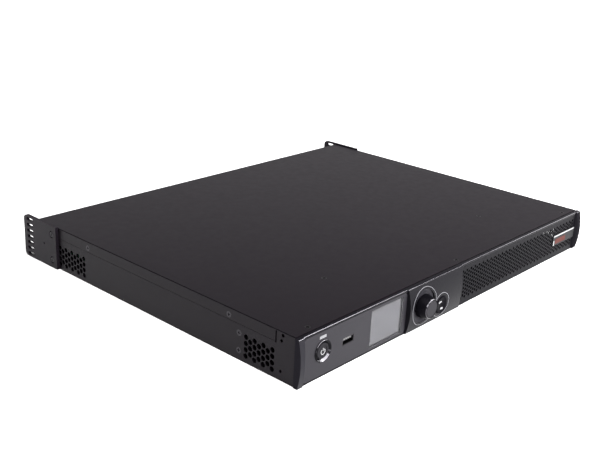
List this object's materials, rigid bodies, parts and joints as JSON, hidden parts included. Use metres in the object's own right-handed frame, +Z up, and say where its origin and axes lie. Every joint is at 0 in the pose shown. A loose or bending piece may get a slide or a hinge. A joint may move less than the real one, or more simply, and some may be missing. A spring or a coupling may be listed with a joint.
{
  "type": "rack-mount uninterruptible power supply",
  "caption": "Slim one-unit rack-mount uninterruptible power supply with a bulged front, small display, jog knob, buttons, perforated grille and slotted rear ears.",
  "frame": {"origin": "centre of the flat underside of the chassis tray, in the plane it rests on", "axes": "+X right as seen from the front, +Y towards the rear panel, +Z up; the front bezel faces -Y"},
  "size_m": [0.446, 0.3699, 0.0422],
  "materials": {
    "case_paint": "fine-textured black powder coat",
    "zinc_steel": "zinc-plated sheet",
    "bezel_plastic": "dark grey satin moulding",
    "badge": "grey label plate",
    "lens_glass": "clear polished window",
    "module_plastic": "black moulding",
    "screen": "light grey display, switched off",
    "light_pipe": "frosted clear light pipe",
    "control_gloss": "polished black",
    "knob_face": "satin dark grey disc",
    "dish_plastic": "polished black dish",
    "trim_line": "light grey raised line",
    "connector_metal": "nickel plate",
    "connector_plastic": "black nylon",
    "shaft_brass": "turned brass",
    "terminal_green": "green nylon",
    "breaker_black": "black button",
    "screw_steel": "black-oxide steel",
    "board_green": "green solder mask",
    "battery_case": "grey ABS battery case",
    "lead_rubber": "red insulation",
    "heatsink_metal": "extruded aluminium",
    "copper": "enamelled copper winding"
  },
  "bodies": {
    "root": {"ac_inlet": "connector_plastic", "badge_plate": "badge", "battery_blocks": "battery_case", "battery_cradle": "zinc_steel", "battery_leads": "lead_rubber", "battery_strap": "zinc_steel", "battery_terminals": "connector_metal", "board_posts": "connector_metal", "breaker_body": "connector_plastic", "capacitors": "module_plastic", "chassis_tray": "case_paint", "chokes": "copper", "comms_board": "board_green", "control_board": "board_green", "control_insert": "bezel_plastic", "control_trim": "trim_line", "display_lens": "lens_glass", "display_module": "module_plastic", "display_panel": "screen", "divider": "zinc_steel", "ear_left": "case_paint", "ear_right": "case_paint", "encoder_body": "connector_metal", "fan_frames": "connector_plastic", "flat_screws": "screw_steel", "front_bezel": "bezel_plastic", "front_grille": "bezel_plastic", "front_subpanel": "zinc_steel", "ground_stud": "connector_metal", "heatsinks": "heatsink_metal", "inlet_pins": "connector_metal", "key_switches": "module_plastic", "knob_dish": "dish_plastic", "network_ports": "connector_metal", "outlets": "connector_plastic", "output_board": "board_green", "pan_screws": "screw_steel", "power_board": "board_green", "power_ring": "control_gloss", "power_transformer": "copper", "power_transistors": "connector_plastic", "rear_panel": "case_paint", "relays": "module_plastic", "serial_port": "connector_metal", "slot_cover": "case_paint", "status_light": "light_pipe", "stop_terminal": "terminal_green", "top_cover": "case_paint", "usb_b_port": "connector_plastic", "usb_port": "connector_metal", "usb_tongue": "connector_plastic"},
    "power_button": {"power_button": "control_gloss"},
    "escape_button": {"escape_button": "control_gloss"},
    "knob_push": {"encoder_plunger": "connector_plastic"},
    "knob": {"encoder_shaft": "shaft_brass", "knob": "control_gloss", "knob_cap": "knob_face"},
    "fan_1": {"fan_rotor_1": "connector_plastic"},
    "fan_2": {"fan_rotor_2": "connector_plastic"},
    "breaker": {"breaker_button": "breaker_black"}
  },
  "joints": [
    {"name": "power_button_press", "type": "slide", "parent": "root", "child": "power_button", "axis": [0, 1, 0], "range_m": [0, 0.0012], "stiffness_N_per_m": 900, "springref_m": -0.0004},
    {"name": "escape_button_press", "type": "slide", "parent": "root", "child": "escape_button", "axis": [0, 1, 0], "range_m": [0, 0.001], "stiffness_N_per_m": 900, "springref_m": -0.0004},
    {"name": "knob_press", "type": "slide", "parent": "root", "child": "knob_push", "axis": [0, 1, 0], "range_m": [0, 0.0006], "stiffness_N_per_m": 4000, "springref_m": -0.0002},
    {"name": "knob_turn", "type": "hinge", "parent": "knob_push", "child": "knob", "pos_m": [-0.0644, -0.178, 0.0201], "axis": [0, -1, 0], "continuous": true},
    {"name": "fan_1_spin", "type": "hinge", "parent": "root", "child": "fan_1", "pos_m": [0.12, -0.1237, 0.0206], "axis": [0, -1, 0], "continuous": true},
    {"name": "fan_2_spin", "type": "hinge", "parent": "root", "child": "fan_2", "pos_m": [0.175, -0.1237, 0.0206], "axis": [0, -1, 0], "continuous": true},
    {"name": "breaker_pop", "type": "slide", "parent": "root", "child": "breaker", "axis": [0, 1, 0], "range_m": [0, 0.003]}
  ]
}
